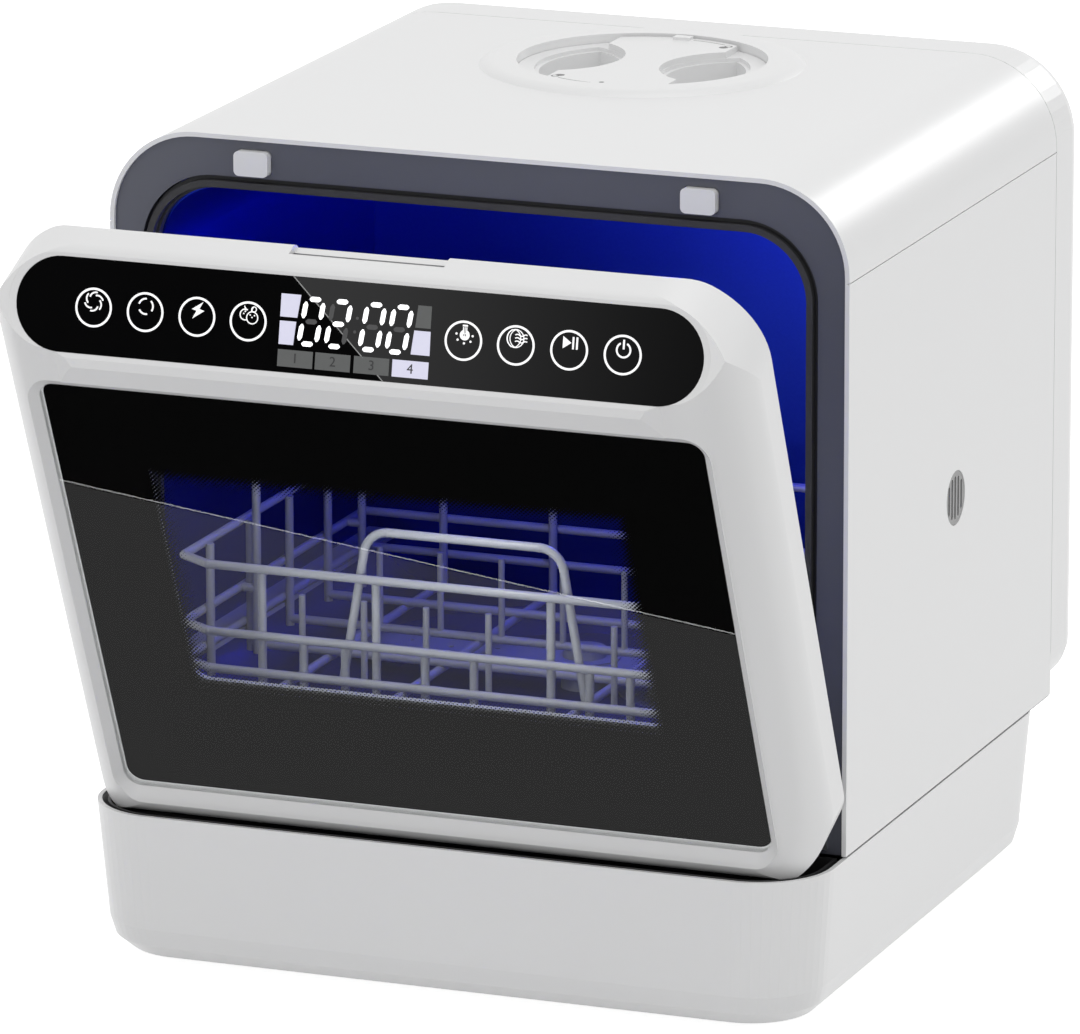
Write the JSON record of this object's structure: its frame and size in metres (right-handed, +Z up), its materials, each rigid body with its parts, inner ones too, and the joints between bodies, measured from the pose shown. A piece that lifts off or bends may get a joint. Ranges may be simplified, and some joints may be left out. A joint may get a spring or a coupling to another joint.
{
  "type": "countertop dishwasher",
  "caption": "White countertop dishwasher with a drop-down glass door, slanted touch panel, wire basket and a filler cap on top.",
  "frame": {"origin": "centre of the base's footprint, on the floor the feet stand on", "axes": "+Z up, +X to the right as seen from the front, and the door faces -Y; at rest the door stands ajar"},
  "size_m": [0.42, 0.5617, 0.455],
  "materials": {
    "white_plastic": "smooth satin gloss",
    "slate_plastic": "smooth satin",
    "black_plastic": "fine matt",
    "rubber": "matt",
    "steel": "fine brushed",
    "grey_plastic": "satin",
    "coated_wire": "smooth nylon coat",
    "vent_plastic": "satin",
    "lamp_lens": "clear lens over a blue lamp",
    "dark_glass": "printed black round a clear middle",
    "clear_glass": "clear",
    "panel_lens": "glossy black lens",
    "circuit_board": "satin"
  },
  "bodies": {
    "cabinet": {"base_housing": "white_plastic", "base_plate": "grey_plastic", "feet": "rubber", "chassis_plate": "black_plastic", "door_well": "black_plastic", "tub": "steel", "front_frame": "slate_plastic", "door_gasket": "rubber", "top_cover": "white_plastic", "side_panel_left": "white_plastic", "side_panel_right": "white_plastic", "rear_cover": "white_plastic", "side_vent_grille": "vent_plastic", "inlet_collar": "white_plastic", "fill_funnel": "grey_plastic", "water_tank": "grey_plastic", "sump": "grey_plastic", "filter_plate": "steel", "spray_post": "grey_plastic", "wash_pump": "black_plastic", "drain_pump": "black_plastic", "heater": "steel", "tub_lamp": "lamp_lens", "basket_runners": "grey_plastic", "hinge_brackets": "steel", "hinge_pins": "steel", "latch_housings": "grey_plastic", "latch_spring_left": "steel", "latch_spring_right": "steel", "fan_housing": "black_plastic", "power_board": "circuit_board", "water_inlet": "white_plastic", "drain_spigot": "grey_plastic", "cord_gland": "black_plastic", "cover_screws": "steel"},
    "door": {"door_frame": "white_plastic", "door_liner": "grey_plastic", "outer_glass": "dark_glass", "inner_glass": "clear_glass", "inner_glass_seal": "rubber", "control_panel": "panel_lens", "display_board": "circuit_board", "hinge_arms": "steel", "door_screws": "steel"},
    "basket": {"basket_front": "coated_wire", "basket_back": "coated_wire", "basket_side_left": "coated_wire", "basket_side_right": "coated_wire", "basket_floor": "coated_wire", "basket_handle": "coated_wire", "plate_tines": "coated_wire", "shelf_clips": "grey_plastic"},
    "cup_shelf": {"cup_shelf": "coated_wire"},
    "spray_arm": {"spray_arm": "grey_plastic"},
    "filter": {"filter_cup": "grey_plastic"},
    "latch_left": {"latch_block_left": "white_plastic"},
    "latch_right": {"latch_block_right": "white_plastic"},
    "cap": {"inlet_cap": "white_plastic", "cap_seal": "rubber"},
    "fan": {"fan_rotor": "grey_plastic"}
  },
  "joints": [
    {"name": "door_hinge", "type": "hinge", "parent": "cabinet", "child": "door", "pos_m": [0, -0.163, 0.114], "axis": [1, 0, 0], "range_deg": [-23.6, 54]},
    {"name": "basket_slide", "type": "slide", "parent": "cabinet", "child": "basket", "axis": [0, -1, 0], "range_m": [-0.0281, 0.0642]},
    {"name": "cup_shelf_fold", "type": "hinge", "parent": "basket", "child": "cup_shelf", "pos_m": [-0.14776, -0.06, 0.296], "axis": [0, -1, 0], "range_deg": [0, 90]},
    {"name": "spray_arm_spin", "type": "hinge", "parent": "cabinet", "child": "spray_arm", "pos_m": [0, 0.02, 0.13], "axis": [0, 0, 1], "continuous": true},
    {"name": "filter_twist", "type": "hinge", "parent": "cabinet", "child": "filter", "pos_m": [0.06, 0.032, 0.11], "axis": [0, 0, 1], "range_deg": [0, 90]},
    {"name": "latch_left_press", "type": "slide", "parent": "cabinet", "child": "latch_left", "axis": [0, 1, 0], "range_m": [0, 0.004], "stiffness_N_per_m": 600, "springref_m": -0.003, "deforming": ["latch_spring_left"]},
    {"name": "latch_right_press", "type": "slide", "parent": "cabinet", "child": "latch_right", "axis": [0, 1, 0], "range_m": [0, 0.004], "stiffness_N_per_m": 600, "springref_m": -0.003, "deforming": ["latch_spring_right"]},
    {"name": "cap_turn", "type": "hinge", "parent": "cabinet", "child": "cap", "pos_m": [0, 0.109, 0.45], "axis": [0, 0, 1], "range_deg": [0, 60]},
    {"name": "fan_spin", "type": "hinge", "parent": "cabinet", "child": "fan", "pos_m": [0.193, 0.0335, 0.243], "axis": [1, 0, 0], "continuous": true}
  ],
  "couplings": [
    {"joint": "basket_slide", "follows": "door_hinge", "m_per_rad": 0.068}
  ]
}
